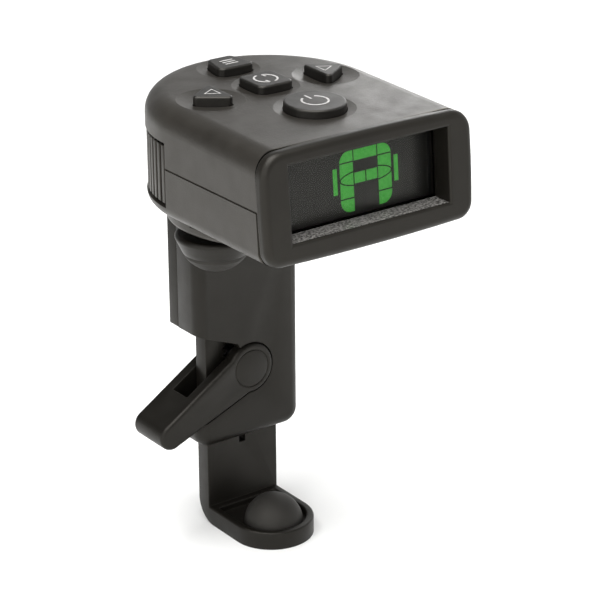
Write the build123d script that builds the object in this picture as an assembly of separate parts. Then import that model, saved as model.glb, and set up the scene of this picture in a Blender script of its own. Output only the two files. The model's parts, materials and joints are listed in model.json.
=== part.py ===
from build123d import *
import os
from math import atan2, cos, degrees, radians, sin, tan

# Clip-on tuner for a violin or viola: a display head that pans and tilts on a ratchet body clamp.
# Frame, in millimetres: X = 0 is the mid-plane, the clamp pads' common axis is X = 0, Y = 0,
# the display faces -Y, +Z is up, and Z = 0 is the underside of the foot.

# ---------------------------------------------------------------- driving dimensions
# head
HEAD_WIDTH = 30.4
HEAD_BOTTOM = 47.0
PARTING_Z = 53.4
TOP_AT_AXIS = 60.95         # height of the top surface above the pad axis
TOP_SLOPE = 1.4             # degrees, the top rises towards the rear
FACE_Y = -20.6              # display face at its middle height
FACE_LEAN = 4.6             # degrees, the face's foot stands further forward
FACE_MID_Z = 53.9
SHELL_WALL = 1.4
PIECE_GAP = 0.12            # visible line between neighbouring mouldings
SEAM_GAP = 0.02             # hairline between mouldings that close up tightly
TOP_ROUND = 2.8
BOTTOM_ROUND = 1.5
# front bezel and display
BEZEL_DEPTH = 1.5
BEZEL_CROWN = 0.3           # how far the middle of each long side bulges
BEZEL_SIDE_CROWN = 0.2
BEZEL_EDGE = 0.9            # rounding of the front edge
BEZEL_LOW_CORNER = 2.2
OPENING_WIDTH = 23.3
OPENING_LOW = -4.45         # edges of the display opening, from the middle of the face
OPENING_HIGH = 4.9
OPENING_EDGE = 0.35
RECESS_DEPTH = 3.0
# swivel pod and tilt joint
POD_RADIUS = 13.0
POD_BOTTOM = 44.9
POD_FLOOR = 1.1
POD_EDGE = 0.6
WELL_RADIUS = 8.0
POST_RADIUS = 3.0
POST_GAP = 0.06
FLANGE_RADIUS = 6.4
TILT_PIN_RADIUS = 0.8
KNUCKLE_HALF_WIDTH = 2.3
TILT_Z = 42.7
# battery drawer: a ribbed band round the rear with a tray for a 20 x 3.2 mm coin cell
BAND_BOTTOM = 48.6
BAND_TOP = 56.6
BAND_START_Y = 0.4
BAND_DEPTH = 1.6
RIB_COUNT = 41
RIB_HEIGHT = 0.75
CELL_RADIUS = 10.0
CELL_HEIGHT = 3.2
CELL_WALL = 0.3
CELL_Y = 1.2
TRAY_Z = 49.0
# clamp housing and ratchet bar
HOUSING_HALF_WIDTH = 8.0
HOUSING_FRONT = 4.8
HOUSING_REAR = 11.9
HOUSING_BOTTOM = 11.9
HOUSING_TOP = 43.2
HOUSING_SPLIT = 9.3
HOUSING_LOW_CORNER = 2.2
HOUSING_FRONT_CORNER = 1.6
HOUSING_REAR_CORNER = 0.8
BAR_HALF_WIDTH = 5.5
BAR_FRONT = 7.0
BAR_REAR = 9.2
BAR_TOP = 33.6
RUN_GAP = 0.1
# release lever
HUB_X = 0.0
HUB_Z = 21.8
HUB_RADIUS = 3.4
TIP_X = -12.35
TIP_Z = 15.35
TIP_RADIUS = 1.75
THUMB_WEB_X = -9.05         # inner end of the web that joins the lever's arms
LEVER_FRONT = 4.5
LEVER_REAR = 11.2
LEVER_EDGE = 0.5
AXLE_RADIUS = 1.0
HUB_SKIN = 0.6              # closed front of the lever's hub, over the axle's end
HUB_DISC_RADIUS = 2.6
WINDOW_TOP = 28.4           # upper corner of the cut-out that the lever swings in
# pads
PAD_RADIUS = 3.85
PAD_SKIRT = 0.5             # straight side below the dome
PAD_PLUG_RADIUS = 1.95
CUP_X = 8.3
CUP_TOP = 44.1
CUP_BOTTOM = 41.6
UPPER_PAD_BOTTOM = 39.1
LOWER_PAD_TOP = 5.4
# foot
FOOT_RADIUS = 5.5
FOOT_Y = 0.4                # middle of the foot's round end
FOOT_RIM = 1.0
FOOT_HEIGHT = 2.4
FOOT_FLOOR = 1.5
BEND_RADIUS = 3.2
# toothed slot in the bar
SLOT_BOTTOM = 11.7
SLOT_TOP = 32.3
SLOT_LEFT = 2.2             # its edges, from the lever's axle
SLOT_RIGHT = 1.6
TOOTH_PITCH = 1.0
# buttons
BUTTON_HEIGHT = 0.9
BUTTON_GAP = 0.12
BUTTON_EDGE = 0.25
BUTTON_TRAVEL_ROOM = 0.7
BOARD_Z = 55.2
BOARD_THICKNESS = 0.9

# screws: radii of heads and shanks
SCREW_HEAD = 1.2
SCREW_SHANK = 0.6
BOSS_RADIUS = 1.5
COVER_SCREW_HEAD = 0.9
COVER_SCREW_SHANK = 0.42

HEAD_RADIUS = HEAD_WIDTH / 2
SCREW_X = HEAD_RADIUS - 2.8
SHELL_SCREW_PLACES = [(-SCREW_X, -12.6), (SCREW_X, -12.6), (-SCREW_X, -2.6), (SCREW_X, -2.6)]
COVER_SCREW_PLACES = [(-6.0, 38.0), (6.0, 38.0), (6.2, 15.6)]
# reach and depth of the shallow dish round each button
WELL_SIZES = {
    "power_button": (5.0, 0.4),
    "select_button": (4.2, 0.35),
    "left_button": (4.2, 0.45),
    "right_button": (4.2, 0.45),
    "mode_button": (4.0, 0.4),
}
FACE = Pos(0, FACE_Y, FACE_MID_Z) * Rot(-FACE_LEAN, 0, 0)
TOP = Pos(0, 0, TOP_AT_AXIS) * Rot(TOP_SLOPE, 0, 0)


# ---------------------------------------------------------------- small helpers
def block(x0, x1, y0, y1, z0, z1):
    """Box between two corners."""
    return Pos((x0 + x1) / 2, (y0 + y1) / 2, (z0 + z1) / 2) * Box(x1 - x0, y1 - y0, z1 - z0)


def rod_z(radius, z0, z1, x=0.0, y=0.0):
    """Cylinder along Z."""
    return Pos(x, y, (z0 + z1) / 2) * Cylinder(radius, z1 - z0)


def rod_y(radius, y0, y1, x=0.0, z=0.0):
    """Cylinder along Y."""
    return Pos(x, (y0 + y1) / 2, z) * Rot(90, 0, 0) * Cylinder(radius, y1 - y0)


def rod_x(radius, x0, x1, y=0.0, z=0.0):
    """Cylinder along X."""
    return Pos((x0 + x1) / 2, y, z) * Rot(0, 90, 0) * Cylinder(radius, x1 - x0)


def prism_z(outline, z0, z1, x=0.0, y=0.0):
    """Flat outline on XY, raised from z0 to z1."""
    return Pos(x, y, z0) * extrude(outline, z1 - z0)


def prism_y(outline, y0, y1):
    """Flat outline drawn with (X, Z) coordinates, raised from y0 to y1."""
    return extrude(Plane((0, y0, 0), x_dir=(1, 0, 0), z_dir=(0, -1, 0)) * outline, -(y1 - y0))


def rounded_polygon(points, radius):
    """Closed polygon with every corner rounded."""
    outline = make_face(Polyline(*points, close=True))
    return fillet(outline.vertices(), radius)


def save(name, shape):
    """Write one sub-part."""
    export_step(shape, "parts/" + name + ".step")


# ---------------------------------------------------------------- head mouldings
def head_plan(inset):
    """Plan of the head: a straight front part and a half-round rear."""
    radius = HEAD_RADIUS - inset
    front = Pos(0, -16) * Rectangle(2 * radius, 32)
    return front + Circle(radius)


def below_top(inset):
    """Everything below the sloped top surface, moved down by inset."""
    return TOP * Pos(0, 0, -inset) * block(-40, 40, -60, 60, -40, 0)


def behind_face(distance):
    """Everything behind the leaning display face, moved back by distance."""
    return FACE * block(-40, 40, distance, 80, -40, 40)


def head_block():
    """Outer shape of the whole head, with its soft top edge and smaller bottom edge."""
    solid = prism_z(head_plan(0), HEAD_BOTTOM, HEAD_BOTTOM + 20) & below_top(0) & behind_face(0)
    top_edges = [e for e in solid.faces().sort_by(Axis.Z)[-1].edges() if e.center().Y > FACE_Y + 3]
    solid = fillet(top_edges, TOP_ROUND)
    bottom_edges = [e for e in solid.faces().sort_by(Axis.Z)[0].edges() if e.center().Y > FACE_Y + 3]
    return fillet(bottom_edges, BOTTOM_ROUND)


def head_cavity():
    """Room inside the head's shells."""
    walls = prism_z(head_plan(SHELL_WALL), HEAD_BOTTOM + 1.2, HEAD_BOTTOM + 20)
    return walls & below_top(SHELL_WALL) & behind_face(BEZEL_DEPTH)


def band_room(gap):
    """Space of the battery drawer's ribbed band at the rear of the head."""
    ring = Circle(HEAD_RADIUS + 1) - Circle(HEAD_RADIUS - BAND_DEPTH - gap)
    half = ring & (Pos(0, 25 + BAND_START_Y - gap) * Rectangle(60, 50))
    return prism_z(half, BAND_BOTTOM - gap, BAND_TOP + gap)


def drawer_mouth():
    """Slot behind the band for the tray to slide through."""
    return block(-11.6, 11.6, 0, 20, TRAY_Z - 0.3, TRAY_Z + 4.6)


def screw_bosses(z0, z1, hole_radius):
    """Four tubular bosses for the shell screws."""
    return [rod_z(BOSS_RADIUS, z0, z1, x, y) - rod_z(hole_radius, z0 - 1, z1 + 1, x, y)
            for x, y in SHELL_SCREW_PLACES]


def make_shell_screws():
    """Four screws that enter from below and bite in the top shell's bosses."""
    screws = []
    cross_top = HEAD_BOTTOM + 0.4
    for x, y in SHELL_SCREW_PLACES:
        head = rod_z(SCREW_HEAD, HEAD_BOTTOM + 0.1, HEAD_BOTTOM + 0.78, x, y)
        for long, short in ((0.8, 0.15), (0.15, 0.8)):
            head = head - block(x - long, x + long, y - short, y + short, HEAD_BOTTOM, cross_top)
        screws.append(head + rod_z(SCREW_SHANK, HEAD_BOTTOM + 0.6, PARTING_Z + 4.6, x, y))
    return Compound(children=screws)


def button_outlines(grow):
    """Outline and centre (on the top surface) of each button."""
    triangle = [(2.8, 0), (-1.65, 3.05), (-1.65, -3.05)]
    trapezoid = [(-2.75, -2.15), (2.75, -2.15), (1.8, 2.2), (-1.8, 2.2)]
    right = rounded_polygon(triangle, 0.5)
    outlines = {
        "power_button": (Circle(3.8), 0.0, -9.4),
        "select_button": (RectangleRounded(5.1, 5.1, 0.9), 0.0, 0.7),
        "left_button": (mirror(right, Plane.YZ), -8.6, 0.0),
        "right_button": (right, 8.6, 0.0),
        "mode_button": (rounded_polygon(trapezoid, 0.8), 0.0, 8.7),
    }
    if grow:
        outlines = {name: (offset(o, grow), x, y) for name, (o, x, y) in outlines.items()}
    return outlines


def button_well(name, x, y):
    """Shallow dish in the top surface round a button."""
    reach, depth = WELL_SIZES[name]
    radius = (reach ** 2 + depth ** 2) / (2 * depth)
    return TOP * Pos(x, y, radius - depth) * Sphere(radius)


def make_top_shell(outer, cavity):
    shell = outer & behind_face(BEZEL_DEPTH + SEAM_GAP)
    shell = shell & block(-40, 40, -60, 60, PARTING_Z + PIECE_GAP / 2, 90)
    shell = shell - cavity
    for name, (outline, x, y) in button_outlines(BUTTON_GAP).items():
        shell = shell - button_well(name, x, y)
        shell = shell - TOP * Pos(x, y, -4) * extrude(outline, 6)
    shell = shell - band_room(PIECE_GAP)
    for boss in screw_bosses(PARTING_Z + 0.3, PARTING_Z + 5.6, SCREW_SHANK + 0.02):
        shell = shell + boss
    return shell


def make_bottom_shell(outer, cavity):
    shell = outer & behind_face(BEZEL_DEPTH + PIECE_GAP)
    shell = shell & block(-40, 40, -60, 60, 0, PARTING_Z - PIECE_GAP / 2)
    shell = shell - cavity
    pod = rod_z(POD_RADIUS, POD_BOTTOM, HEAD_BOTTOM + 1.0)
    pod = fillet(pod.edges().group_by(Axis.Z)[0], POD_EDGE)
    shell = shell + pod
    shell = shell - rod_z(WELL_RADIUS, POD_BOTTOM + POD_FLOOR, HEAD_BOTTOM + 1.3)
    shell = shell - rod_z(POST_RADIUS + POST_GAP, POD_BOTTOM - 1, HEAD_BOTTOM)
    shell = shell - band_room(PIECE_GAP) - drawer_mouth()
    for boss in screw_bosses(HEAD_BOTTOM + 1.0, PARTING_Z + 0.1, SCREW_SHANK + 0.15):
        shell = shell + boss
    for x, y in SHELL_SCREW_PLACES:
        shell = shell - rod_z(SCREW_SHANK + 0.15, HEAD_BOTTOM - 1, HEAD_BOTTOM + 2, x, y)
        shell = shell - rod_z(SCREW_HEAD + 0.15, HEAD_BOTTOM - 1, HEAD_BOTTOM + 0.8, x, y)
    return shell


def bezel_outline():
    """Front view of the bezel: four slightly bulging sides with rounded corners."""
    half_w = HEAD_RADIUS
    top = (TOP_AT_AXIS + FACE_Y * tan(radians(TOP_SLOPE)) - FACE_MID_Z) / cos(radians(FACE_LEAN))
    low = (HEAD_BOTTOM - FACE_MID_Z) / cos(radians(FACE_LEAN))
    middle = (top + low) / 2
    sides = [
        ThreePointArc((-half_w, top), (0, top + BEZEL_CROWN), (half_w, top)),
        ThreePointArc((half_w, top), (half_w + BEZEL_SIDE_CROWN, middle), (half_w, low)),
        ThreePointArc((half_w, low), (0, low - BEZEL_CROWN), (-half_w, low)),
        ThreePointArc((-half_w, low), (-half_w - BEZEL_SIDE_CROWN, middle), (-half_w, top)),
    ]
    outline = make_face(Wire(sides))
    outline = fillet(outline.vertices().group_by(Axis.Y)[-1], TOP_ROUND)
    return fillet(outline.vertices().group_by(Axis.Y)[0], BEZEL_LOW_CORNER)


def make_front_bezel():
    """Front frame: a rounded rim with a deep rectangular recess for the display."""
    across = FACE * prism_y(bezel_outline(), 0, BEZEL_DEPTH)
    front = across.faces().sort_by(Axis.Y)[0]
    rim = fillet(front.edges(), BEZEL_EDGE)
    half_w = OPENING_WIDTH / 2
    low = FACE_MID_Z + OPENING_LOW
    high = FACE_MID_Z + OPENING_HIGH
    tunnel = block(-half_w - 0.8, half_w + 0.8, -40, 0, low - 0.22, high + 0.3)
    tunnel = tunnel & behind_face(BEZEL_DEPTH - 0.5)
    tunnel = (tunnel & below_top(SHELL_WALL + 0.05)) - behind_face(RECESS_DEPTH)
    bezel = rim + tunnel - block(-half_w, half_w, -40, 0, low, high)
    front = max((f for f in bezel.faces() if f.normal_at().Y < -0.99), key=lambda f: -f.center().Y)
    return fillet(front.inner_wires()[0].edges(), OPENING_EDGE)


def face_plate(half_width, half_height, front, thickness):
    """Flat plate parallel to the display face, behind the middle of the opening."""
    raise_by = (front + thickness / 2) * sin(radians(FACE_LEAN)) + (OPENING_LOW + OPENING_HIGH) / 2
    plate = block(-half_width, half_width, front, front + thickness, -half_height, half_height)
    return FACE * Pos(0, 0, raise_by) * plate


def make_display():
    """Window, liquid-crystal panel and backlight behind the bezel's recess."""
    half_w = OPENING_WIDTH / 2 + 0.6
    half_h = (OPENING_HIGH - OPENING_LOW) / 2 + 0.1
    window_at = RECESS_DEPTH + 0.02
    save("display_window", face_plate(half_w, half_h, window_at, 0.6))
    save("lcd_panel", face_plate(half_w - 0.3, half_h - 0.1, window_at + 0.65, 1.1))
    save("backlight_panel", face_plate(half_w - 1.6, half_h - 0.5, window_at + 1.8, 1.2))


def make_circuit_board():
    """Board under the buttons, cut to the head's plan."""
    plan = head_plan(SHELL_WALL + 0.9) & (Pos(0, -3.0) * Rectangle(60, 21))
    board = prism_z(plan, BOARD_Z, BOARD_Z + BOARD_THICKNESS)
    for x, y in SHELL_SCREW_PLACES:
        board = board - rod_z(BOSS_RADIUS, BOARD_Z - 1, BOARD_Z + 2, x, y)
    return board


def make_board_parts():
    top = BOARD_Z + BOARD_THICKNESS
    save("processor_chip", block(-6.6, -2.6, -6.4, -2.4, top + 0.02, top + 0.9))
    domes = [Pos(x, y, top + 0.03) * extrude(Circle(1.5), 0.35, taper=40)
             for _, x, y in button_outlines(0).values()]
    save("switch_domes", Compound(children=domes))
    under = BOARD_Z - 0.03
    save("piezo_sensor", rod_z(2.8, HEAD_BOTTOM + 1.22, HEAD_BOTTOM + 1.5, 6.0, -11.4))
    post = block(-1.2, 1.2, -7.6, -7.3, TRAY_Z + 4.5, under)
    spring_leaf = block(-1.2, 1.2, -7.6, -2.0, TRAY_Z + 4.45, TRAY_Z + 4.65)
    save("battery_contact_top", post + spring_leaf)
    side_post = block(-3.0, 3.0, -11.2, -10.8, HEAD_BOTTOM + 1.9, under)
    save("battery_contact_side", side_post)
    save("ribbon_connector", block(-8.5, 8.5, -13.6, -13.2, 50.2, 55.1))


def make_button(name, outline):
    """Rubber-like key cap with a stem that reaches down to its switch."""
    base = -SHELL_WALL - 0.2
    key = Pos(0, 0, base) * extrude(outline, BUTTON_HEIGHT - base)
    key = fillet(key.edges().group_by(Axis.Z)[-1], BUTTON_EDGE)
    return key + Pos(0, 0, base - 0.55) * extrude(offset(outline, 0.55), 0.6)


def make_buttons():
    for name, (outline, x, y) in button_outlines(0).items():
        key = TOP * Pos(x, y, 0) * make_button(name, outline)
        flange_bottom = TOP_AT_AXIS + y * tan(radians(TOP_SLOPE)) - SHELL_WALL - 0.7
        stem = rod_z(0.8, BOARD_Z + BOARD_THICKNESS + 0.38 + BUTTON_TRAVEL_ROOM, flange_bottom, x, y)
        save(name, key + stem)


# ---------------------------------------------------------------- battery drawer
def make_battery_drawer():
    """Ribbed outer band joined to a tray that carries the coin cell."""
    base_radius = HEAD_RADIUS - RIB_HEIGHT
    ring = Circle(base_radius) - Circle(HEAD_RADIUS - BAND_DEPTH)
    half = ring & (Pos(0, 25 + BAND_START_Y) * Rectangle(60, 50))
    drawer = prism_z(half, BAND_BOTTOM, BAND_TOP)
    rib = block(base_radius - 0.2, HEAD_RADIUS - 0.15, -0.3, 0.3, BAND_BOTTOM + 0.35, BAND_TOP - 0.35)
    step = 180.0 / (RIB_COUNT + 1)
    start = degrees(atan2(BAND_START_Y, base_radius))
    for i in range(RIB_COUNT):
        angle = start + step * (i + 0.75)
        drawer = drawer + Rot(0, 0, angle) * rib
    tray = block(-10.6, 10.6, CELL_Y - CELL_RADIUS - 1.0, 9.5, TRAY_Z, TRAY_Z + 4.1)
    tray = tray & rod_z(HEAD_RADIUS - 1.3, 0, 90)
    tray = tray - rod_z(CELL_RADIUS + 0.2, TRAY_Z + 0.6, 90, 0, CELL_Y)
    return drawer + tray


def make_coin_cell():
    """Steel can with its open side down, the cell's filling, and the cap that closes it."""
    bottom = TRAY_Z + 0.65
    top = bottom + CELL_HEIGHT
    inside = CELL_RADIUS - CELL_WALL
    can = rod_z(CELL_RADIUS, bottom + 0.35, top, 0, CELL_Y)
    can = fillet(can.edges().group_by(Axis.Z)[-1], 0.2)
    save("coin_cell", can - rod_z(inside, bottom - 1, top - CELL_WALL, 0, CELL_Y))
    room = CELL_WALL + 0.02
    save("cell_filling", rod_z(inside - 0.02, bottom + room, top - room, 0, CELL_Y))
    save("cell_cap", rod_z(inside - 0.8, bottom, bottom + CELL_WALL, 0, CELL_Y))


# ---------------------------------------------------------------- swivel and tilt
def make_swivel_stud():
    """Post with a retained flange in the head's pod and a knuckle round the tilt pin."""
    flange_bottom = POD_BOTTOM + POD_FLOOR + 0.05
    stud = rod_z(POST_RADIUS, POD_BOTTOM - 0.35, flange_bottom + 0.5)
    stud = stud + rod_z(FLANGE_RADIUS, flange_bottom, flange_bottom + 0.9)
    stud = stud + block(-KNUCKLE_HALF_WIDTH, KNUCKLE_HALF_WIDTH, -1.5, 1.5, TILT_Z, POD_BOTTOM)
    stud = stud + rod_x(1.5, -KNUCKLE_HALF_WIDTH, KNUCKLE_HALF_WIDTH, 0, TILT_Z)
    return stud - rod_x(TILT_PIN_RADIUS + 0.04, -4, 4, 0, TILT_Z)


def make_swivel_parts():
    flange_top = POD_BOTTOM + POD_FLOOR + 0.95
    washer = rod_z(FLANGE_RADIUS - 0.2, flange_top + 0.05, flange_top + 0.45) - rod_z(4.2, 0, 90)
    save("friction_washer", washer)
    cover = rod_z(WELL_RADIUS - 0.05, flange_top + 0.5, HEAD_BOTTOM + 1.15)
    save("swivel_retainer", cover)
    save("tilt_pin", rod_x(TILT_PIN_RADIUS, -4.6, 4.6, 0, TILT_Z))


# ---------------------------------------------------------------- clamp housing
def lever_outline(grow):
    """Side view of the lever in (X, Z): hub circle, tip circle and the arm between them."""
    length = ((TIP_X - HUB_X) ** 2 + (TIP_Z - HUB_Z) ** 2) ** 0.5
    lean = degrees(atan2(TIP_Z - HUB_Z, TIP_X - HUB_X))
    hub = HUB_RADIUS - 0.35 + grow
    tip = TIP_RADIUS + grow
    arm = make_face(Polyline((0, hub), (length, tip), (length, -tip), (0, -hub), close=True))
    shape = arm + Pos(length, 0) * Circle(tip) + Circle(HUB_RADIUS + grow)
    return Pos(HUB_X, HUB_Z) * Rot(0, 0, lean) * shape


def swing_window():
    """Cut-out in the clamp's left flank where the lever lies and swings."""
    at_rest = lever_outline(PIECE_GAP)
    outer_x = -HOUSING_HALF_WIDTH - 1.0
    corners = [(HUB_X, HUB_Z), (HUB_X - 1.9, WINDOW_TOP - 2.8), (outer_x, WINDOW_TOP), (outer_x, HUB_Z - 4.0)]
    swept = make_face(Polyline(*corners, close=True))
    return prism_y(at_rest + swept, HOUSING_FRONT - 5, HOUSING_REAR + 5)


def bar_channel(gap):
    """Straight passage for the ratchet bar."""
    return block(-BAR_HALF_WIDTH - gap, BAR_HALF_WIDTH + gap, BAR_FRONT - gap, BAR_REAR + gap,
                 HOUSING_BOTTOM - 2, HOUSING_TOP - 1.3)


def housing_block():
    """Outer shape of the clamp housing with rounded upright edges and lower corners."""
    body = block(-HOUSING_HALF_WIDTH, HOUSING_HALF_WIDTH, HOUSING_FRONT, HOUSING_REAR,
                 HOUSING_BOTTOM, HOUSING_TOP)
    body = fillet(body.edges().filter_by(Axis.Y).group_by(Axis.Z)[0], HOUSING_LOW_CORNER)
    upright = body.edges().filter_by(Axis.Z)
    body = fillet(upright.sort_by(Axis.Y)[:2], HOUSING_FRONT_CORNER)
    upright = body.edges().filter_by(Axis.Z)
    return fillet(upright.sort_by(Axis.Y)[-2:], HOUSING_REAR_CORNER)


def pad_cup(side):
    """Cone under the cross-arm that holds one upper pad."""
    height = CUP_TOP - CUP_BOTTOM
    cone = Cone(4.1, 5.3, height)
    cone = fillet(cone.edges().group_by(Axis.Z)[-1], 0.5)
    return Pos(side * CUP_X, 0, (CUP_TOP + CUP_BOTTOM) / 2) * cone


def cross_arm():
    """Plate that carries the two pad cups and the tilt lugs."""
    neck = make_face(Polyline((-6.4, 6.0), (6.4, 6.0), (8.6, -1.0), (-8.6, -1.0), close=True))
    plate = prism_z(neck, CUP_BOTTOM + 0.2, CUP_TOP - 0.9)
    beam = block(-CUP_X, CUP_X, -2.4, 2.4, CUP_BOTTOM + 0.1, CUP_TOP - 0.1)
    return plate + beam + pad_cup(-1) + pad_cup(1)


def make_clamp_housing():
    body = housing_block() & block(-40, 40, 0, HOUSING_SPLIT, 0, 60)
    body = body + cross_arm()
    body = body - bar_channel(RUN_GAP)
    body = body - swing_window()
    room_half = KNUCKLE_HALF_WIDTH + RUN_GAP
    body = body - block(-room_half, room_half, -2.6, 2.6, TILT_Z - 3, CUP_TOP + 1)
    body = body - rod_x(TILT_PIN_RADIUS, -4.7, 4.7, 0, TILT_Z)
    body = body - block(-3.5, 3.5, -3.5, 3.5, CUP_TOP - 0.35, CUP_TOP + 2)
    for side in (-1, 1):
        body = body - rod_z(PAD_PLUG_RADIUS + 0.05, CUP_BOTTOM - 1, CUP_BOTTOM + 1.3, side * CUP_X, 0)
    return body


def make_back_cover():
    body = housing_block() & block(-40, 40, HOUSING_SPLIT + SEAM_GAP, 20, 0, 60)
    body = body - swing_window()
    for x, z in COVER_SCREW_PLACES:
        body = body - rod_y(COVER_SCREW_SHANK + 0.03, 5, 20, x, z)
        body = body - rod_y(COVER_SCREW_HEAD + 0.05, HOUSING_REAR - 0.8, 20, x, z)
    return body


def make_cover_screws():
    screws = []
    for x, z in COVER_SCREW_PLACES:
        head = rod_y(COVER_SCREW_HEAD, HOUSING_REAR - 0.78, HOUSING_REAR - 0.1, x, z)
        for long, short in ((0.7, 0.12), (0.12, 0.7)):
            head = head - block(x - long, x + long, HOUSING_REAR - 0.4, 20, z - short, z + short)
        screws.append(head + rod_y(COVER_SCREW_SHANK, HOUSING_SPLIT + 0.1, HOUSING_REAR - 0.7, x, z))
    return Compound(children=screws)


# ---------------------------------------------------------------- ratchet bar with its foot
def foot_outline(inset, rear):
    """Plan of the foot: a round front end and straight sides back to the bar."""
    radius = FOOT_RADIUS - inset
    sides = Pos(0, (FOOT_Y + rear) / 2) * Rectangle(2 * radius, rear - FOOT_Y)
    return Pos(0, FOOT_Y) * Circle(radius) + sides


def make_ratchet_bar():
    """Upright bar with a toothed slot, bent forward into a round-ended foot."""
    foot = prism_z(foot_outline(0, BAR_REAR), 0, FOOT_HEIGHT)
    bar = block(-BAR_HALF_WIDTH, BAR_HALF_WIDTH, BAR_FRONT, BAR_REAR, 0, BAR_TOP)
    solid = foot + bar
    back_edge = [e for e in solid.edges().filter_by(Axis.X)
                 if abs(e.center().Y - BAR_REAR) < 0.01 and e.center().Z < 0.01]
    solid = fillet(back_edge, BEND_RADIUS)
    hollow = foot_outline(FOOT_RIM, BAR_FRONT - FOOT_RIM)
    solid = solid - prism_z(hollow, FOOT_FLOOR, FOOT_HEIGHT + 1)
    rim_face = [f for f in solid.faces().filter_by(Plane.XY) if abs(f.center().Z - FOOT_HEIGHT) < 0.01]
    rim_edges = [e for e in rim_face[0].edges() if e.center().Y < BAR_FRONT - 0.01]
    solid = fillet(rim_edges, 0.25)
    return solid - make_toothed_slot()


def make_toothed_slot():
    """Slot for the lever's axle, with ratchet notches down its left edge."""
    left = HUB_X - SLOT_LEFT
    front = BAR_FRONT - 1
    rear = BAR_REAR + 1
    slot = block(left, HUB_X + SLOT_RIGHT, front, rear, SLOT_BOTTOM, SLOT_TOP)
    slot = slot + block(HUB_X - 0.5, HUB_X + 0.5, front, rear, SLOT_BOTTOM - 1.3, SLOT_BOTTOM + 1)
    tooth_gap = make_face(Polyline((left + 0.1, 0), (left + 0.1, 0.9), (left - 0.7, 0.15), close=True))
    for i in range(int((SLOT_TOP - SLOT_BOTTOM - TOOTH_PITCH) / TOOTH_PITCH)):
        slot = slot + Pos(0, 0, SLOT_BOTTOM + (i + 0.5) * TOOTH_PITCH) * prism_y(tooth_gap, front, rear)
    return slot


def pad_dome(z_base, z_tip):
    """Domed rubber pad: a spherical cap on a short cylinder."""
    height = abs(z_tip - z_base)
    cap = height - PAD_SKIRT
    sphere_radius = (PAD_RADIUS ** 2 + cap ** 2) / (2 * cap)
    centre = height - sphere_radius
    dome = rod_z(PAD_RADIUS, 0, height) & Pos(0, 0, centre) * Sphere(sphere_radius)
    if z_tip < z_base:
        dome = Rot(180, 0, 0) * dome
    return Pos(0, 0, z_base) * dome


def make_pads():
    lower = pad_dome(FOOT_FLOOR + 0.02, LOWER_PAD_TOP)
    save("lower_pad", lower)
    for name, side in (("upper_pad_left", -1), ("upper_pad_right", 1)):
        dome = pad_dome(CUP_BOTTOM - 0.02, UPPER_PAD_BOTTOM)
        plug = rod_z(PAD_PLUG_RADIUS, CUP_BOTTOM - 0.3, CUP_BOTTOM + 1.2)
        save(name, Pos(side * CUP_X, 0, 0) * (dome + plug))


# ---------------------------------------------------------------- release lever
def make_release_lever():
    """U-shaped lever: two arms with hubs, joined by a thumb web round the tip."""
    lever = prism_y(lever_outline(0), LEVER_FRONT, LEVER_REAR)
    rims = [e for e in lever.edges() if min(e.center().Y - LEVER_FRONT, LEVER_REAR - e.center().Y) < 0.01]
    lever = fillet(rims, LEVER_EDGE)
    front_inner = BAR_FRONT - 0.85
    rear_inner = BAR_REAR + 0.2
    room = block(THUMB_WEB_X, 20, front_inner, rear_inner, 0, 60)
    under = prism_y(lever_outline(-1.3), front_inner, rear_inner)
    spring_room = rod_y(2.45, rear_inner - 0.5, LEVER_REAR - 0.6, HUB_X, HUB_Z)
    lever = lever - room - under - spring_room
    lever = lever - rod_y(AXLE_RADIUS, LEVER_FRONT + HUB_SKIN, LEVER_REAR + 1, HUB_X, HUB_Z)
    ring = Circle(HUB_DISC_RADIUS) - Circle(HUB_DISC_RADIUS - 0.12)
    return lever - prism_y(Pos(HUB_X, HUB_Z) * ring, LEVER_FRONT - 1, LEVER_FRONT + 0.1)


def make_lever_axle():
    """Axle that starts behind the front hub's closed face."""
    return rod_y(AXLE_RADIUS, LEVER_FRONT + HUB_SKIN + 0.05, LEVER_REAR - 0.1, HUB_X, HUB_Z)


def make_lever_spring():
    """Torsion coil round the axle, inside the rear hub."""
    coil = Helix(pitch=0.45, height=0.9, radius=1.75)
    section = Plane(origin=coil @ 0, z_dir=coil % 0) * Circle(0.17)
    wire = sweep(section, path=coil, is_frenet=True)
    return Pos(HUB_X, LEVER_REAR - 0.82, HUB_Z) * Rot(90, 0, 0) * wire


def make_pawl():
    """Toothed cam on the axle, inside the bar's slot."""
    tooth = make_face(Polyline((0, 1.15), (-2.05, 0.25), (-2.05, -0.05), (0, -1.15), close=True))
    cam = Circle(1.25) + tooth - Circle(AXLE_RADIUS)
    return prism_y(Pos(HUB_X, HUB_Z) * cam, BAR_FRONT + 0.1, BAR_REAR - 0.1)


os.makedirs("parts", exist_ok=True)
outer_head = head_block()
inner_head = head_cavity()
save("top_shell", make_top_shell(outer_head, inner_head))
save("bottom_shell", make_bottom_shell(outer_head, inner_head))
save("front_bezel", make_front_bezel())
make_display()
save("circuit_board", make_circuit_board())
save("shell_screws", make_shell_screws())
make_board_parts()
make_buttons()
save("battery_drawer", make_battery_drawer())
make_coin_cell()
save("swivel_stud", make_swivel_stud())
make_swivel_parts()
save("clamp_housing", make_clamp_housing())
save("back_cover", make_back_cover())
save("cover_screws", make_cover_screws())
save("ratchet_bar", make_ratchet_bar())
make_pads()
save("release_lever", make_release_lever())
save("lever_axle", make_lever_axle())
save("ratchet_pawl", make_pawl())
save("lever_spring", make_lever_spring())
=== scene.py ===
import json
from math import cos, radians, sin

import bmesh
import bpy
from mathutils import Matrix, Vector


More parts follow.
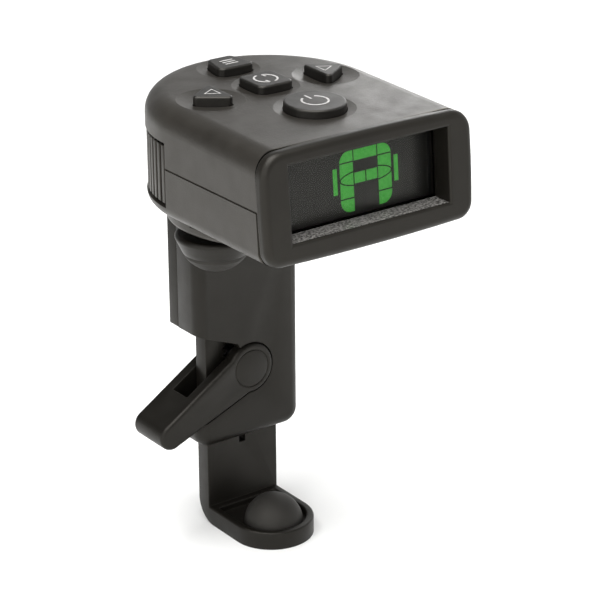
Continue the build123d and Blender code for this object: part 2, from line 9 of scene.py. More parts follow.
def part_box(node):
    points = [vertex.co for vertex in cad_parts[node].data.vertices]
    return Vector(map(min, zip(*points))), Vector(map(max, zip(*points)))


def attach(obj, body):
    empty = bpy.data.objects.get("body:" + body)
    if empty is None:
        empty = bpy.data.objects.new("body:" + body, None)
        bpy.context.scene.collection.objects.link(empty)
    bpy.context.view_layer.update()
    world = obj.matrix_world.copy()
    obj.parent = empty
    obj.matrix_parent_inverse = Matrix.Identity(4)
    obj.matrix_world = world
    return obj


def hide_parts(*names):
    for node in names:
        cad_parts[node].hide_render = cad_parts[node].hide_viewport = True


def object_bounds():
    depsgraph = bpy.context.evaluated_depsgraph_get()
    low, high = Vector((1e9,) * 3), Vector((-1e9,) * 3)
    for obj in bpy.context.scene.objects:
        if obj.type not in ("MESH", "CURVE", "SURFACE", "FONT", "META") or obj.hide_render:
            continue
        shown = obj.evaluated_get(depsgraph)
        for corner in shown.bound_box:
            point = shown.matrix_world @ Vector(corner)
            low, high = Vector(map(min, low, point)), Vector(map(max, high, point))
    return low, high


# Clip-on tuner: the looks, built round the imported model. Every position is in metres, in the row's frame.
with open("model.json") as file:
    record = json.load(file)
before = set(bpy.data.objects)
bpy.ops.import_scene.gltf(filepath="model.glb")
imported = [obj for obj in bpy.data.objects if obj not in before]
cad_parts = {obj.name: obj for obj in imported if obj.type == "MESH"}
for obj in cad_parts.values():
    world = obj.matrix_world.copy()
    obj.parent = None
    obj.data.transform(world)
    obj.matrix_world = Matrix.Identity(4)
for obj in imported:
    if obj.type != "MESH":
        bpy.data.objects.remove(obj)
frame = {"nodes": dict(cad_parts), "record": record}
cad_low, cad_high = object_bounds()

MM = 0.001
FRONT = (0, -1, 0)
UP = (0, 0, 1)
BODY_OF = {node: body for body, nodes in frame["record"]["behaviour"]["bodies"].items() for node in nodes}
SLOT_OF = {part["node"]: part["material_slot"] for part in frame["record"]["subparts"]}


# ---------------------------------------------------------------- camera, floor and light
CAMERA_AZIMUTH = 36.13      # degrees, 0 looks along +Y
CAMERA_ELEVATION = 22.52
CAMERA_ROLL = -0.31
CAMERA_DISTANCE = 296.36 * MM
CAMERA_TARGET = Vector((1.33, -4.74, 33.84)) * MM
CAMERA_LENS = 141.48        # millimetres, with the sensor below
CAMERA_SENSOR = 36
FLOOR_HALF = 3.0
FLOOR_DROP = 0.02 * MM      # the floor's distance below the foot
FLOOR_GLOW = 0.06
ROOM_RIGHT = ((0.0, 1.0), (0.45, 0.95), (0.6, 0.2), (1.0, 0.15))    # (sine of elevation, brightness)
ROOM_LEFT = ((0.0, 0.4), (0.25, 0.22), (0.45, 0.02), (0.85, 0.02), (1.0, 0.15))
LIGHT_FOCUS = (0, -2 * MM, 35 * MM)
SOFT_BOXES = (              # name, place, point it faces, size, power in watts
    ("overhead", (-0.10, -0.10, 0.62), LIGHT_FOCUS, (0.6, 0.6), 8.0),
    ("side_left", (-0.60, -0.10, 0.25), LIGHT_FOCUS, (0.4, 0.4), 1.3),
    ("front_left", (-0.34, -0.42, 0.22), LIGHT_FOCUS, (0.2, 0.2), 0.7),
    ("back_right", (0.11, 0.08, 0.10), (0.01, 0, 0.06), (0.06, 0.04), 0.04),
)


def make_camera():
    """Camera at the viewing angle of a product shot from the front left, slightly above."""
    azimuth, elevation, roll = (radians(a) for a in (CAMERA_AZIMUTH, CAMERA_ELEVATION, CAMERA_ROLL))
    forward = Vector((sin(azimuth) * cos(elevation), cos(azimuth) * cos(elevation), -sin(elevation)))
    level = Vector((cos(azimuth), -sin(azimuth), 0))
    upright = level.cross(forward)
    right = level * cos(roll) + upright * sin(roll)
    up = upright * cos(roll) - level * sin(roll)
    camera = bpy.data.objects.new("camera", bpy.data.cameras.new("camera"))
    camera.data.lens = CAMERA_LENS
    camera.data.sensor_width = CAMERA_SENSOR
    camera.data.clip_start = 0.01
    place = Matrix((right, up, -forward)).transposed().to_4x4()
    place.translation = CAMERA_TARGET - forward * CAMERA_DISTANCE
    camera.matrix_world = place
    bpy.context.scene.collection.objects.link(camera)
    bpy.context.scene.camera = camera


def make_floor():
    """Large plain pale floor under the foot."""
    builder = bmesh.new()
    bmesh.ops.create_grid(builder, x_segments=2, y_segments=2, size=FLOOR_HALF)
    mesh = bpy.data.meshes.new("floor")
    builder.to_mesh(mesh)
    builder.free()
    floor = bpy.data.objects.new("floor", mesh)
    floor.location = (0, 0, cad_low.z - FLOOR_DROP)
    bpy.context.scene.collection.objects.link(floor)
    material, _, surface = new_material("floor_white", (0.86, 0.86, 0.85), 0.8)
    surface.inputs["Specular IOR Level"].default_value = 0.2
    surface.inputs["Emission Color"].default_value = (1, 1, 0.99, 1)
    surface.inputs["Emission Strength"].default_value = FLOOR_GLOW
    mesh.materials.append(material)


def area_light(name, place, aim, size, power):
    """White soft box at a place, turned to face a point."""
    light = bpy.data.lights.new(name, "AREA")
    light.shape = "RECTANGLE"
    light.size, light.size_y = size
    light.energy = power
    holder = bpy.data.objects.new(name, light)
    direction = Vector(aim) - Vector(place)
    holder.location = place
    holder.rotation_euler = direction.to_track_quat("-Z", "Y").to_euler()
    bpy.context.scene.collection.objects.link(holder)


def height_ramp(tree, height, stops):
    """Brightness by height: stops are (sine of the elevation, level)."""
    ramp = tree.nodes.new("ShaderNodeValToRGB")
    tree.links.new(height, ramp.inputs["Fac"])
    elements = ramp.color_ramp.elements
    while len(elements) < len(stops):
        elements.new(0.5)
    for element, (position, level) in zip(elements, stops):
        element.position = position
        element.color = (level, level, level, 1)
    return ramp.outputs["Color"]


def make_world():
    """Dim room: lighter low down behind the object and to its right, dark high up behind and to the left."""
    world = bpy.data.worlds.new("studio")
    world.use_nodes = True
    tree = world.node_tree
    background = tree.nodes["Background"]
    coordinates = tree.nodes.new("ShaderNodeTexCoord")
    split = tree.nodes.new("ShaderNodeSeparateXYZ")
    tree.links.new(coordinates.outputs["Generated"], split.inputs[0])
    right = height_ramp(tree, split.outputs["Z"], ROOM_RIGHT)
    left = height_ramp(tree, split.outputs["Z"], ROOM_LEFT)
    side = remap(tree, split.outputs["X"], -0.2, 0.7, 0.0, 1.0)
    tree.links.new(blend_colours(tree, side, left, right), background.inputs["Color"])
    background.inputs["Strength"].default_value = 1.0
    bpy.context.scene.world = world


def make_lights():
    """The room, the soft boxes in it, and plain colour output."""
    make_world()
    for box in SOFT_BOXES:
        area_light(*box)
    bpy.context.scene.view_settings.view_transform = "Standard"
    bpy.context.scene.view_settings.look = "None"


# ---------------------------------------------------------------- materials
WARM_GLOSS = (1.0, 0.955, 0.88, 1)      # tint of the mouldings' reflections
# Seam widths: bands of painted shade, black and without sheen, as in the shadow inside each gap
SEAM_SHADE_HALF = 0.04 * MM       # half-width of the painted shade along the line between the two shells
TOP_FRONT_SEAM_SHADE = 0.12 * MM  # width of the painted shade on each shell's edge beside the bezel
LOW_FRONT_SEAM_SHADE = 0.42 * MM
RIB_CREST = 0.20 * MM       # below the drawer's outside: lit ribs end here
RIB_ROOT = 0.40 * MM        # and the grooves are painted black as shade from here down


def new_material(name, colour, roughness):
    """Material with one surface shader, returned with its tree and that shader."""
    material = bpy.data.materials.new(name)
    material.use_nodes = True
    surface = material.node_tree.nodes["Principled BSDF"]
    surface.inputs["Base Color"].default_value = (*colour, 1)
    surface.inputs["Roughness"].default_value = roughness
    return material, material.node_tree, surface


def noise(tree, scale, detail=2.0, stretch=None):
    """Noise in the object's own coordinates, in metres, so its grain has a real size."""
    coordinates = tree.nodes.new("ShaderNodeTexCoord")
    texture = tree.nodes.new("ShaderNodeTexNoise")
    texture.inputs["Scale"].default_value = scale
    texture.inputs["Detail"].default_value = detail
    source = coordinates.outputs["Object"]
    if stretch:
        mapping = tree.nodes.new("ShaderNodeMapping")
        mapping.inputs["Scale"].default_value = stretch
        tree.links.new(source, mapping.inputs["Vector"])
        source = mapping.outputs["Vector"]
    tree.links.new(source, texture.inputs["Vector"])
    return texture.outputs["Fac"]


def remap(tree, value, low, high, new_low, new_high):
    """Stretches a value's range, and holds it inside the new one."""
    node = tree.nodes.new("ShaderNodeMapRange")
    node.inputs["From Min"].default_value = low
    node.inputs["From Max"].default_value = high
    node.inputs["To Min"].default_value = new_low
    node.inputs["To Max"].default_value = new_high
    tree.links.new(value, node.inputs["Value"])
    return node.outputs["Result"]


def blend_colours(tree, factor, first, second):
    """Mixes two colours, each a colour or a socket, by a value."""
    node = tree.nodes.new("ShaderNodeMix")
    node.data_type = "RGBA"
    tree.links.new(factor, node.inputs["Factor"])
    for name, colour in (("A", first), ("B", second)):
        socket = next(s for s in node.inputs if s.name == name and s.type == "RGBA")
        if isinstance(colour, tuple):
            socket.default_value = (*colour, 1)
        else:
            tree.links.new(colour, socket)
    return next(s for s in node.outputs if s.type == "RGBA")


def soft_normal(tree, radius):
    """Normal that turns smoothly round an edge, as on a moulded part."""
    bevel = tree.nodes.new("ShaderNodeBevel")
    bevel.samples = 4
    bevel.inputs["Radius"].default_value = radius
    return bevel.outputs["Normal"]


def edge_mask(tree, radius):
    """One where an edge is near, nought on flats."""
    geometry = tree.nodes.new("ShaderNodeNewGeometry")
    dot = tree.nodes.new("ShaderNodeVectorMath")
    dot.operation = "DOT_PRODUCT"
    tree.links.new(soft_normal(tree, radius), dot.inputs[0])
    tree.links.new(geometry.outputs["Normal"], dot.inputs[1])
    return remap(tree, dot.outputs["Value"], 0.985, 0.8, 0.0, 1.0)


def bump(tree, height, depth, strength, normal=None):
    """Normal roughened by a height, on top of another normal if one is given."""
    node = tree.nodes.new("ShaderNodeBump")
    node.inputs["Strength"].default_value = strength
    node.inputs["Distance"].default_value = depth
    tree.links.new(height, node.inputs["Height"])
    if normal:
        tree.links.new(normal, node.inputs["Normal"])
    return node.outputs["Normal"]


def moulded(name, colour, edge_wear_and_highlight, roughness, gloss, grain=0.22 * MM, depth=0.012 * MM, edge=0.14 * MM):
    """Dark moulded plastic or rubber: fine spark-eroded grain, faint mottling, and lighter edges that are
    partly rubbed wear and partly a painted highlight.
    """
    material, tree, surface = new_material(name, colour, roughness)
    surface.inputs["Specular IOR Level"].default_value = gloss
    surface.inputs["Specular Tint"].default_value = WARM_GLOSS
    mottle = remap(tree, noise(tree, 160.0, 4.0), 0.3, 0.7, 0.0, 1.0)
    darker = tuple(c * 0.86 for c in colour)
    lighter = tuple(c * 1.16 for c in colour)
    body = blend_colours(tree, mottle, darker, lighter)
    # Lighter edge colour: partly rubbed wear, partly a painted highlight along every edge
    wear_and_highlight_mask = edge_mask(tree, edge * 1.4)
    tree.links.new(blend_colours(tree, wear_and_highlight_mask, body, edge_wear_and_highlight), surface.inputs["Base Color"])
    rough = remap(tree, noise(tree, 420.0, 3.0), 0.3, 0.7, roughness - 0.04, roughness + 0.05)
    tree.links.new(rough, surface.inputs["Roughness"])
    skin = bump(tree, noise(tree, 1 / grain, 2.0), depth, 0.55, soft_normal(tree, edge))
    tree.links.new(skin, surface.inputs["Normal"])
    return material


def distance_from(tree, plane, near, far):
    """Mask that is 0 near the plane where two mouldings meet and 1 away from it."""
    normal, offset = plane
    coordinates = tree.nodes.new("ShaderNodeTexCoord")
    dot = tree.nodes.new("ShaderNodeVectorMath")
    dot.operation = "DOT_PRODUCT"
    dot.inputs[1].default_value = normal
    tree.links.new(coordinates.outputs["Object"], dot.inputs[0])
    distance = tree.nodes.new("ShaderNodeMath")
    distance.operation = "SUBTRACT"
    distance.inputs[1].default_value = offset
    tree.links.new(dot.outputs["Value"], distance.inputs[0])
    absolute = tree.nodes.new("ShaderNodeMath")
    absolute.operation = "ABSOLUTE"
    tree.links.new(distance.outputs["Value"], absolute.inputs[0])
    return remap(tree, absolute.outputs["Value"], near, far, 0.0, 1.0)


def paint_shade(material, clear):
    """Paints shade into a material where the mask is 0: black and without sheen, as in the shadow inside a
    gap.
    """
    tree = material.node_tree
    surface = tree.nodes["Principled BSDF"]
    colour = surface.inputs["Base Color"].links[0].from_socket
    tree.links.new(blend_colours(tree, clear, (0, 0, 0), colour), surface.inputs["Base Color"])
    tree.links.new(remap(tree, clear, 0.0, 1.0, 1.0, 0.0), surface.inputs["Metallic"])
    return material


def seam_planes():
    """Planes of the head's two seams: between its shells, and where the lower one meets the bezel."""
    shell = frame["nodes"]["bottom_shell"].data.vertices
    normal = flat_side("bottom_shell", FRONT).to_3x3() @ Vector((0, 0, -1))
    front = min(vertex.co.dot(normal) for vertex in shell)
    return (Vector(UP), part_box("bottom_shell")[1][2]), (normal, front)


def seam_shaded(material, width):
    """Paints shade along the head's seams, black as the shadow in the gap behind them; width is that of the
    front one.
    """
    tree = material.node_tree
    parting, front = seam_planes()
    seam_shade_mask = tree.nodes.new("ShaderNodeMath")
    seam_shade_mask.operation = "MINIMUM"
    tree.links.new(distance_from(tree, parting, SEAM_SHADE_HALF, SEAM_SHADE_HALF + 0.06 * MM), seam_shade_mask.inputs[0])
    tree.links.new(distance_from(tree, front, width, width + 0.08 * MM), seam_shade_mask.inputs[1])
    return paint_shade(material, seam_shade_mask.outputs["Value"])


def grain_with_painted_light(name):
    """Coarse spark-eroded grain seen close, its colour far lighter than the bezel's as painted light."""
    material, tree, surface = new_material(name, (0.12, 0.118, 0.11), 0.4)
    speckle = remap(tree, noise(tree, 3600.0, 1.0), 0.4, 0.6, 0.0, 1.0)
    # The light speckle colour is painted light; the speckle pattern is the moulding's grain
    painted_light_grains = blend_colours(tree, speckle, (0.012, 0.0115, 0.0105), (0.22, 0.213, 0.20))
    tree.links.new(painted_light_grains, surface.inputs["Base Color"])
    tree.links.new(bump(tree, speckle, 0.03 * MM, 0.6), surface.inputs["Normal"])
    return material


def metal(name, colour, roughness):
    """Satin metal with fine drawing lines."""
    material, tree, surface = new_material(name, colour, roughness)
    surface.inputs["Metallic"].default_value = 1.0
    lines = noise(tree, 900.0, 3.0, (1.0, 1.0, 12.0))
    darker = tuple(c * 0.8 for c in colour)
    tree.links.new(blend_colours(tree, lines, darker, colour), surface.inputs["Base Color"])
    rough = remap(tree, lines, 0.3, 0.7, roughness - 0.08, roughness + 0.1)
    tree.links.new(rough, surface.inputs["Roughness"])
    tree.links.new(bump(tree, lines, 0.004 * MM, 0.3, soft_normal(tree, 0.08 * MM)), surface.inputs["Normal"])
    return material


def printed_white(name):
    """White pad print, slightly uneven in its cover."""
    material, tree, surface = new_material(name, (0.42, 0.41, 0.40), 0.5)
    cover = remap(tree, noise(tree, 2600.0, 3.0), 0.3, 0.6, 0.0, 1.0)
    ink = blend_colours(tree, cover, (0.24, 0.235, 0.225), (0.46, 0.45, 0.44))
    tree.links.new(ink, surface.inputs["Base Color"])
    return material


def lit_segment(name):
    """Green display segment that glows a little."""
    material, tree, surface = new_material(name, (0.05, 0.42, 0.05), 0.45)
    cell = remap(tree, noise(tree, 3000.0, 2.0), 0.3, 0.7, 0.0, 1.0)
    green = blend_colours(tree, cell, (0.045, 0.33, 0.04), (0.07, 0.42, 0.06))
    tree.links.new(green, surface.inputs["Base Color"])
    tree.links.new(green, surface.inputs["Emission Color"])
    surface.inputs["Emission Strength"].default_value = 0.55
    return material


def display_panel(name):
    """Unlit display: dark, with very faint upright electrode streaks."""
    material, tree, surface = new_material(name, (0.02, 0.019, 0.018), 0.35)
    streaks = remap(tree, noise(tree, 700.0, 2.0, (1.0, 0.05, 0.05)), 0.3, 0.7, 0.0, 1.0)
    dark = blend_colours(tree, streaks, (0.020, 0.0195, 0.018), (0.030, 0.0285, 0.026))
    tree.links.new(dark, surface.inputs["Base Color"])
    return material


def clear_window(name):
    """Clear flat window: see-through, with a reflection that grows at a glancing angle."""
    material, tree, surface = new_material(name, (1, 1, 1), 0.05)
    output = tree.nodes["Material Output"]
    tree.nodes.remove(surface)
    clear = tree.nodes.new("ShaderNodeBsdfTransparent")
    clear.inputs["Color"].default_value = (0.93, 0.93, 0.92, 1)
    gloss = tree.nodes.new("ShaderNodeBsdfGlossy")
    gloss.inputs["Color"].default_value = (0.10, 0.10, 0.095, 1)
    fresnel = tree.nodes.new("ShaderNodeFresnel")
    fresnel.inputs["IOR"].default_value = 1.4
    smear = remap(tree, noise(tree, 90.0, 3.0), 0.3, 0.7, 0.10, 0.16)
    tree.links.new(smear, gloss.inputs["Roughness"])
    mix = tree.nodes.new("ShaderNodeMixShader")
    tree.links.new(fresnel.outputs["Fac"], mix.inputs["Fac"])
    tree.links.new(clear.outputs["BSDF"], mix.inputs[1])
    tree.links.new(gloss.outputs["BSDF"], mix.inputs[2])
    tree.links.new(mix.outputs["Shader"], output.inputs["Surface"])
    return material


def plain_coat(name, colour, roughness):
    """Even coloured surface with slight mottling, for parts inside the head."""
    material, tree, surface = new_material(name, colour, roughness)
    mottle = remap(tree, noise(tree, 600.0, 3.0), 0.3, 0.7, 0.0, 1.0)
    darker = tuple(c * 0.75 for c in colour)
    tree.links.new(blend_colours(tree, mottle, darker, colour), surface.inputs["Base Color"])
    return material


def make_materials():
    """One material for each material slot of the record."""
    return {
        # The second colour of each moulding is its lighter edge colour: rubbed wear and a painted highlight
        "shell_plastic": moulded("shell_plastic", (0.0150, 0.0134, 0.0112), (0.036, 0.033, 0.028), 0.42, 0.5,
                                 depth=0.03 * MM, edge=0.06 * MM),
        "bezel_plastic": moulded("bezel_plastic", (0.0070, 0.0062, 0.0048), (0.021, 0.0192, 0.015),
                                 0.42, 0.28),
        "clamp_plastic": moulded("clamp_plastic", (0.0050, 0.0044, 0.0034), (0.018, 0.0165, 0.013),
                                 0.42, 0.26),
        "button_rubber": moulded("button_rubber", (0.0032, 0.0029, 0.0025), (0.014, 0.013, 0.0115), 0.44, 0.5,
                                 depth=0.025 * MM),
        "pad_rubber": moulded("pad_rubber", (0.018, 0.017, 0.0155), (0.024, 0.023, 0.021), 0.6, 0.3,
                              grain=0.15 * MM),
        "window_glass": clear_window("window_glass"),
        "lcd_glass": display_panel("lcd_glass"),
        "backlight": plain_coat("backlight", (0.75, 0.80, 0.75), 0.4),
        "board": plain_coat("board", (0.02, 0.16, 0.05), 0.35),
        "chip": plain_coat("chip", (0.015, 0.015, 0.015), 0.5),
        "steel": metal("steel", (0.55, 0.55, 0.54), 0.32),
        "brass": metal("brass", (0.72, 0.52, 0.22), 0.3),
        "spring_steel": metal("spring_steel", (0.50, 0.50, 0.50), 0.28),
    }


def make_seam_shaded_shell(materials, node, width):
    """Copy of the shells' material that carries the painted shade along the seams."""
    copy = materials["shell_plastic"].copy()
    copy.name = node + "_seam_shade"
    return seam_shaded(copy, width)


def make_groove_shaded_shell(materials):
    """Copy of the shells' material with painted shade: black in the grooves between the battery drawer's
    ribs.
    """
    copy = materials["shell_plastic"].copy()
    copy.name = "shell_plastic_groove_shade"
    tree = copy.node_tree
    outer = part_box("battery_drawer")[1][0]
    coordinates = tree.nodes.new("ShaderNodeTexCoord")
    level = tree.nodes.new("ShaderNodeVectorMath")
    level.operation = "MULTIPLY"
    level.inputs[1].default_value = (1, 1, 0)
    tree.links.new(coordinates.outputs["Object"], level.inputs[0])
    radius = tree.nodes.new("ShaderNodeVectorMath")
    radius.operation = "LENGTH"
    tree.links.new(level.outputs["Vector"], radius.inputs[0])
    # Painted shade: black deep in the grooves, clear on the ribs' crests
    outside_groove_shade = remap(tree, radius.outputs["Value"], outer - RIB_ROOT, outer - RIB_CREST, 0.0, 1.0)
    return paint_shade(copy, outside_groove_shade)


def finish_of(node, materials):
    """Material of a node: its slot's, or the variant that is made for it."""
    return materials.get(node) or materials[SLOT_OF[node]]


def dress_nodes(materials):
    """Gives every CAD node its material."""
    for name, node in frame["nodes"].items():
        material = finish_of(name, materials)
        if not node.material_slots:
            node.data.materials.append(material)
        for place in node.material_slots:
            place.material = material


# ---------------------------------------------------------------- pieces
WELD = 0.002 * MM
SHARP = 32                  # degrees, edges turned more than this are rounded
ROUNDED_NODES = {
    "ratchet_bar": 0.22 * MM,
    "clamp_housing": 0.16 * MM,
    "back_cover": 0.16 * MM,
    "release_lever": 0.12 * MM,
    "battery_drawer": 0.08 * MM,
}


def flat_polygons(node, towards):
    """Polygons of a CAD node's largest flat face that looks a given way."""
    polygons = frame["nodes"][node].data.polygons
    facing = [p for p in polygons if p.normal.dot(Vector(towards)) > 0.9]
    largest = max(facing, key=lambda p: p.area)
    return [p for p in facing if p.normal.dot(largest.normal) > 0.99995
            and abs((p.center - largest.center).dot(largest.normal)) < 0.005 * MM]


def flat_side(node, towards):
    """Frame on that face: origin at its middle, Z outwards, X along +X."""
    flat = flat_polygons(node, towards)
    normal = max(flat, key=lambda p: p.area).normal.copy()
    area = sum(p.area for p in flat)
    middle = sum((p.center * p.area for p in flat), Vector()) / area
    across = (Vector((1, 0, 0)) - normal * normal.x).normalized()
    place = Matrix((across, normal.cross(across), normal)).transposed().to_4x4()
    place.translation = middle
    return place


def flat_extent(node, towards, place):
    """Least and greatest X and Y of that face in its own frame, in millimetres."""
    vertices = frame["nodes"][node].data.vertices
    into = place.inverted()
    points = [into @ vertices[i].co / MM for p in flat_polygons(node, towards) for i in p.vertices]
    return (min(p.x for p in points), max(p.x for p in points),
            min(p.y for p in points), max(p.y for p in points))


def add_piece(name, builder, body, material, smooth=True):
    """Turns a finished bmesh into a piece that rides on a body."""
    mesh = bpy.data.meshes.new(name)
    builder.to_mesh(mesh)
    builder.free()
    mesh.materials.append(material)
    piece = bpy.data.objects.new(name, mesh)
    bpy.context.scene.collection.objects.link(piece)
    if smooth:
        for polygon in mesh.polygons:
            polygon.use_smooth = True
    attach(piece, body)
    return piece


def soften(node, edge, materials):
    """Piece that stands for a CAD solid, with its sharp edges rounded as a mould rounds them."""
    builder = bmesh.new()
    builder.from_mesh(frame["nodes"][node].data)
    bmesh.ops.remove_doubles(builder, verts=builder.verts, dist=WELD)
    bmesh.ops.dissolve_limit(builder, angle_limit=radians(0.6), verts=builder.verts, edges=builder.edges)
    sharp = [e for e in builder.edges if len(e.link_faces) == 2 and e.calc_face_angle() > radians(SHARP)]
    bmesh.ops.bevel(builder, geom=sharp, offset=edge, offset_type="OFFSET", segments=2, profile=0.5,
                    affect="EDGES", clamp_overlap=True)
    bmesh.ops.triangulate(builder, faces=[f for f in builder.faces if len(f.verts) > 4])
    finish = finish_of(node, materials)
    piece = add_piece(node + "_moulding", builder, BODY_OF[node], finish)
    piece.data.set_sharp_from_angle(angle=radians(SHARP))
    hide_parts(node)


def add_plate(builder, place, outline, base, height):
    """Flat plate with the given outline in millimetres, on the frame's XY plane."""
    low = [builder.verts.new(place @ Vector((u * MM, v * MM, base * MM))) for u, v in outline]
    high = [builder.verts.new(place @ Vector((u * MM, v * MM, (base + height) * MM))) for u, v in outline]
    count = len(outline)
    builder.faces.new(high)
    builder.faces.new(low[::-1])
    for i in range(count):
        j = (i + 1) % count
        builder.faces.new((low[i], low[j], high[j], high[i]))


def add_stroke(builder, place, points, width, base, height, closed=False):
    """Printed line of a given width that follows points, in millimetres."""
    count = len(points)
    rails = []
    for i, point in enumerate(points):
        before = Vector(points[i - 1] if closed or i > 0 else points[i])
        after = Vector(points[(i + 1) % count] if closed or i < count - 1 else points[i])
        along = (after - before).normalized()
        side = Vector((-along.y, along.x)) * (width / 2)
        rails.append((Vector(point) + side, Vector(point) - side))
    levels = (base, base + height)
    rings = [[builder.verts.new(place @ Vector((p.x * MM, p.y * MM, z * MM)))
              for p, z in ((left, levels[0]), (right, levels[0]), (right, levels[1]), (left, levels[1]))]
             for left, right in rails]
    last = count if closed else count - 1
    for i in range(last):
        a, b = rings[i], rings[(i + 1) % count]
        for k in range(4):
            m = (k + 1) % 4
            builder.faces.new((a[k], b[k], b[m], a[m]))
    if not closed:
        builder.faces.new(rings[0])
        builder.faces.new(rings[-1][::-1])


def arc(radius, start, end, steps, centre=(0.0, 0.0), flatten=1.0):
    """Points along a circular or elliptic arc, angles in degrees."""
    turns = [radians(start + (end - start) * i / steps) for i in range(steps + 1)]
    return [(centre[0] + radius * cos(t), centre[1] + flatten * radius * sin(t)) for t in turns]


def rounded_cell(u0, u1, v0, v1, radius, corner):
    """Rectangle with one corner rounded: corner is 0 to 3 from lower left, anticlockwise, or None."""
    corners = [(u0, v0), (u1, v0), (u1, v1), (u0, v1)]
    inward = [(1, 1), (-1, 1), (-1, -1), (1, -1)]
    outline = []
    for i, (u, v) in enumerate(corners):
        if i == corner:
            centre = (u + inward[i][0] * radius, v + inward[i][1] * radius)
            outline += arc(radius, 180 + 90 * i, 270 + 90 * i, 8, centre)
        else:
            outline.append((u, v))
    return outline


# ---------------------------------------------------------------- display
# In millimetres on the panel's face, from its middle
LETTER_LEFT = -1.95
LETTER_RIGHT = 5.65
LETTER_TOP = 3.2
LETTER_BOTTOM = -4.2
COLUMN = 1.95               # width of the letter's uprights
BAR = 1.3                   # thickness of its cross-bars
MIDDLE_BAR = -0.25          # height of the middle bar's centre
CORNER = 1.35
SEGMENT_GAP = 0.17
UPPER_SPLIT = 1.85
LOWER_SPLIT = -2.55
SIDE_BAR_WIDTH = 0.6
SIDE_BAR_GAP = 0.42
SIDE_BAR_LOW = -1.8
SIDE_BAR_HIGH = 1.4
WINDOW_LAP = 0.6            # how far the window reaches behind the recess's wall
# Width of the black strip of painted shade beside the recess's right wall
GAP_SHADE_WIDTH = 0.5
SEGMENT_LIFT = 0.008
SEGMENT_THICK = 0.02
BACKING_LIFT = 0.001
ELLIPSE_FLATTEN = 0.25
ELLIPSE_WIDTH = 0.15
ELLIPSE_THICK = 0.006


def letter_cells():
    """Outlines of the lit segments."""
    half_gap = SEGMENT_GAP / 2
    left_in = LETTER_LEFT + COLUMN
    right_in = LETTER_RIGHT - COLUMN
    middle = (LETTER_LEFT + LETTER_RIGHT) / 2
    cells = []
    for u0, u1, top_corner, low_corner in ((LETTER_LEFT, left_in, 3, 0), (right_in, LETTER_RIGHT, 2, 1)):
        cells.append(rounded_cell(u0, u1, UPPER_SPLIT + half_gap, LETTER_TOP, CORNER, top_corner))
        cells.append(rounded_cell(u0, u1, LOWER_SPLIT + half_gap, UPPER_SPLIT - half_gap, 0, None))
        cells.append(rounded_cell(u0, u1, LETTER_BOTTOM, LOWER_SPLIT - half_gap, CORNER, low_corner))
    bar_left = left_in + SEGMENT_GAP
    bar_right = right_in - SEGMENT_GAP
    cells.append(rounded_cell(bar_left, bar_right, LETTER_TOP - BAR, LETTER_TOP, 0, None))
    low = MIDDLE_BAR - BAR / 2
    high = MIDDLE_BAR + BAR / 2
    cells.append(rounded_cell(bar_left, middle - half_gap, low, high, 0, None))
    cells.append(rounded_cell(middle + half_gap, bar_right, low, high, 0, None))
    for edge in (LETTER_LEFT - SIDE_BAR_GAP - SIDE_BAR_WIDTH, LETTER_RIGHT + SIDE_BAR_GAP):
        cells.append(rounded_cell(edge, edge + SIDE_BAR_WIDTH, SIDE_BAR_LOW, SIDE_BAR_HIGH, 0, None))
    return cells


def make_gap_shade_strip(place, body, black):
    """Black strip between the panel's active area and the recess's right wall: painted shade of the deep gap
    behind the wall.
    """
    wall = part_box("display_window")[1][0] / MM - WINDOW_LAP
    low, high = flat_extent("lcd_panel", FRONT, place)[2:]
    u1 = wall - place.translation.x / MM
    outline = [(u1 - GAP_SHADE_WIDTH, low), (u1, low), (u1, high), (u1 - GAP_SHADE_WIDTH, high)]
    builder = bmesh.new()
    add_plate(builder, place, outline, SEGMENT_LIFT, SEGMENT_THICK)
    add_piece("gap_shade_strip", builder, body, black, smooth=False)


def make_segment_borders(place, body, black):
    """Thin dark ellipse that crosses the lit letter."""
    builder = bmesh.new()
    centre = ((LETTER_LEFT + LETTER_RIGHT) / 2, MIDDLE_BAR)
    half_width = (LETTER_RIGHT - LETTER_LEFT) / 2
    ellipse = arc(half_width, 0, 352, 44, centre, ELLIPSE_FLATTEN)
    top = SEGMENT_LIFT + SEGMENT_THICK
    add_stroke(builder, place, ellipse, ELLIPSE_WIDTH, top, ELLIPSE_THICK, closed=True)
    add_piece("segment_borders", builder, body, black, smooth=False)


def make_segment_backing(place, body, black):
    """Dark ground under the letter, which shows in the gaps between its segments."""
    left_in = LETTER_LEFT + COLUMN
    right_in = LETTER_RIGHT - COLUMN
    low = LETTER_BOTTOM + CORNER
    high = LETTER_TOP - CORNER
    areas = (
        (LETTER_LEFT, left_in, low, high),
        (right_in, LETTER_RIGHT, low, high),
        (left_in, right_in, MIDDLE_BAR - BAR / 2, MIDDLE_BAR + BAR / 2),
    )
    builder = bmesh.new()
    for area in areas:
        add_plate(builder, place, rounded_cell(*area, 0, None), BACKING_LIFT, SEGMENT_LIFT / 2)
    add_piece("segment_backing", builder, body, black, smooth=False)


def make_display(materials):
    """Green segments that lie on the display panel, with their dark borders, backing and a black strip of
    painted shade at the gap.
    """
    place = flat_side("lcd_panel", FRONT)
    body = BODY_OF["lcd_panel"]
    black = materials["chip"]
    segments = bmesh.new()
    for outline in letter_cells():
        add_plate(segments, place, outline, SEGMENT_LIFT, SEGMENT_THICK)
    add_piece("lit_segments", segments, body, lit_segment("segment_green"), smooth=False)
    make_gap_shade_strip(place, body, black)
    make_segment_borders(place, body, black)
    make_segment_backing(place, body, black)


# ---------------------------------------------------------------- recess floor
RECESS_INSET = 0.06
RECESS_LIFT = 0.003
RECESS_THICK = 0.03


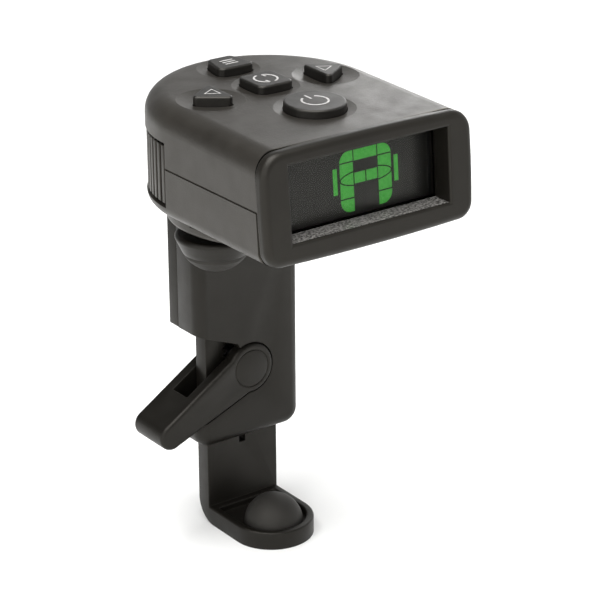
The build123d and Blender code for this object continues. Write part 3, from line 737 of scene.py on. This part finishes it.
def make_recess_floor():
    """Plate of coarse grain on the recess's floor in front of the display, its light colour painted light on
    the ledge.
    """
    node = "front_bezel"
    place = flat_side(node, UP)
    u0, u1, v0, v1 = flat_extent(node, UP, place)
    sides = (u0 + RECESS_INSET, u1 - RECESS_INSET, v0 + RECESS_INSET, v1 - RECESS_INSET)
    builder = bmesh.new()
    add_plate(builder, place, rounded_cell(*sides, 0, None), RECESS_LIFT, RECESS_THICK)
    add_piece("recess_floor", builder, BODY_OF[node], grain_with_painted_light("recess_grain_painted_light"), smooth=False)


# ---------------------------------------------------------------- key symbols
# In millimetres, from the middle of the key's top
PRINT_LIFT = 0.004
PRINT_THICK = 0.02
PRINT_WIDTH = 0.24
POWER_RING = 1.62
POWER_HALF_OPENING = 32     # degrees each side of straight back
POWER_BAR = (0.75, 2.15)
CYCLE_RING = 1.45
CYCLE_START = 105           # degrees, for each of the ring's two arrows
CYCLE_END = 255
CYCLE_BARB = (0.1, 0.75)
TRIANGLE_POINT = 1.0
TRIANGLE_BACK = 0.65
TRIANGLE_HALF = 0.95
LIST_HALF = 0.95
LIST_HEIGHTS = (-0.65, 0.0, 0.65)


def print_symbol(name, node, strokes, white):
    """White symbol on top of a key: strokes are pairs of points and whether they close."""
    place = flat_side(node, UP)
    builder = bmesh.new()
    for points, closed in strokes:
        add_stroke(builder, place, points, PRINT_WIDTH, PRINT_LIFT, PRINT_THICK, closed)
    add_piece(name, builder, BODY_OF[node], white, smooth=False)


def power_strokes():
    """Open ring with a bar through its opening."""
    ring = arc(POWER_RING, 90 + POWER_HALF_OPENING, 450 - POWER_HALF_OPENING, 36)
    bar = [(0, distance) for distance in POWER_BAR]
    return [(ring, False), (bar, False)]


def cycle_strokes():
    """Two arrows that chase each other round a ring."""
    strokes = []
    for turn, way in ((0, 1), (180, -1)):
        bow = arc(CYCLE_RING, CYCLE_START + turn, CYCLE_END + turn, 18)
        tip = bow[-1]
        barb = (tip[0] - CYCLE_BARB[0] * way, tip[1] + CYCLE_BARB[1] * way)
        strokes += [(bow, False), ([tip, barb], False)]
    return strokes


def triangle_strokes(side):
    """Triangle that points left or right."""
    back = -side * TRIANGLE_BACK
    return [([(side * TRIANGLE_POINT, 0.0), (back, TRIANGLE_HALF), (back, -TRIANGLE_HALF)], True)]


def list_strokes():
    """Three level bars."""
    return [([(-LIST_HALF, height), (LIST_HALF, height)], False) for height in LIST_HEIGHTS]


def make_key_symbols():
    """Prints each key's symbol."""
    white = printed_white("symbol_white")
    print_symbol("power_symbol", "power_button", power_strokes(), white)
    print_symbol("select_symbol", "select_button", cycle_strokes(), white)
    print_symbol("left_symbol", "left_button", triangle_strokes(-1), white)
    print_symbol("right_symbol", "right_button", triangle_strokes(1), white)
    print_symbol("mode_symbol", "mode_button", list_strokes(), white)


# ---------------------------------------------------------------- the scene
make_camera()
make_floor()
make_lights()
materials = make_materials()
# The shells' own copies carry painted shade along their seams
materials["top_shell"] = make_seam_shaded_shell(materials, "top_shell", TOP_FRONT_SEAM_SHADE)
materials["bottom_shell"] = make_seam_shaded_shell(materials, "bottom_shell", LOW_FRONT_SEAM_SHADE)
# The drawer's copy carries painted shade in the grooves between its ribs
materials["battery_drawer"] = make_groove_shaded_shell(materials)
dress_nodes(materials)
make_display(materials)
make_recess_floor()
make_key_symbols()
for name, edge in ROUNDED_NODES.items():
    soften(name, edge, materials)
